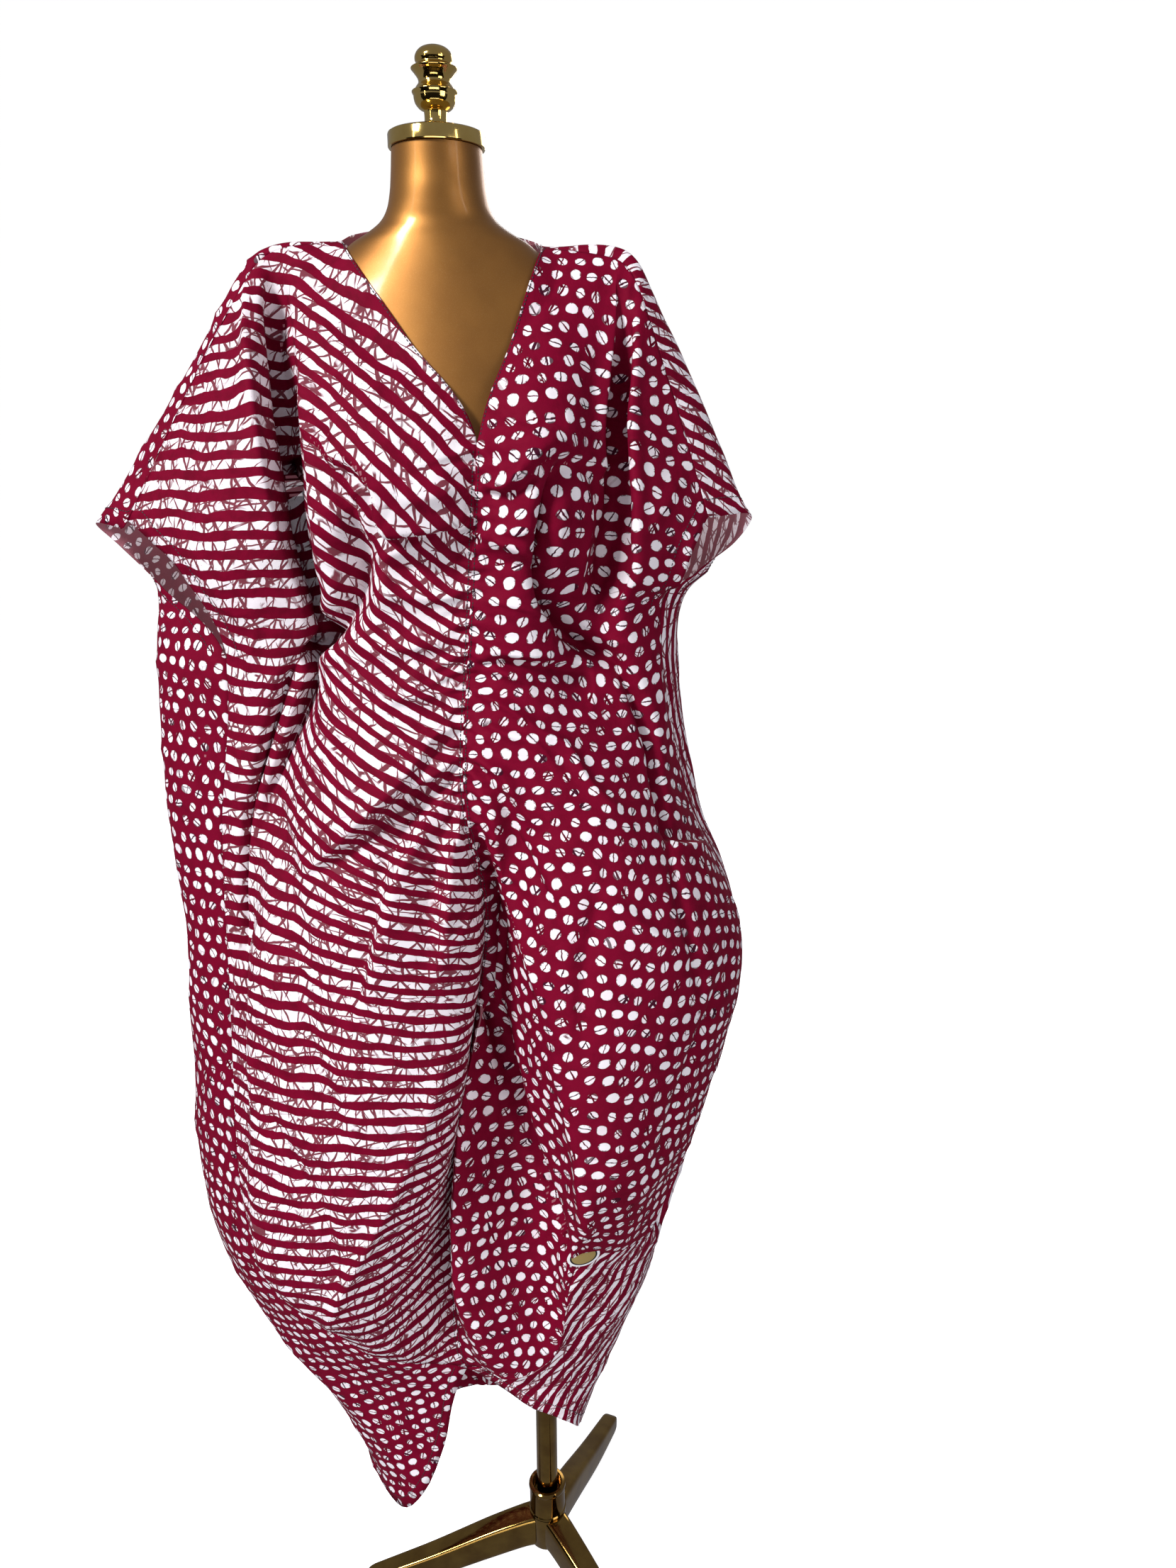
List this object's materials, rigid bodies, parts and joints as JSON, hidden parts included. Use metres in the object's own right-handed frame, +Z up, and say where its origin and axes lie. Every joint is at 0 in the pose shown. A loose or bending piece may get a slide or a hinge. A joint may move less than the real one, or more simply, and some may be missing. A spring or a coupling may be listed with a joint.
{
  "type": "grand boubou robe on a limbless dress form with a tripod stand",
  "caption": "Loose V-neck robe of striped and dotted batik, ruched down the centre front, worn by a limbless gold dress form on a brass tripod stand",
  "frame": {"origin": "on the floor, under the middle of the part's plan", "axes": "+Z is up, the front of the robe faces -Y, and +X is the wearer's left"},
  "size_m": [0.7363, 0.4745, 1.9965],
  "materials": {
    "striped_batik": "crisp waxed cotton, white with crimson stripes and crackle",
    "dotted_batik": "crisp waxed cotton, crimson with white dots",
    "gold_paint": "satin bronze gold paint",
    "polished_brass": "polished"
  },
  "bodies": {
    "root": {"front_right_panel": "striped_batik", "front_left_panel": "dotted_batik", "back_right_panel": "dotted_batik", "back_left_panel": "striped_batik", "dress_form": "gold_paint", "neck_cap": "polished_brass", "finial": "polished_brass", "pole": "polished_brass", "collar": "polished_brass", "hub": "polished_brass", "leg_back": "polished_brass", "leg_right": "polished_brass", "leg_left": "polished_brass"}
  },
  "joints": []
}
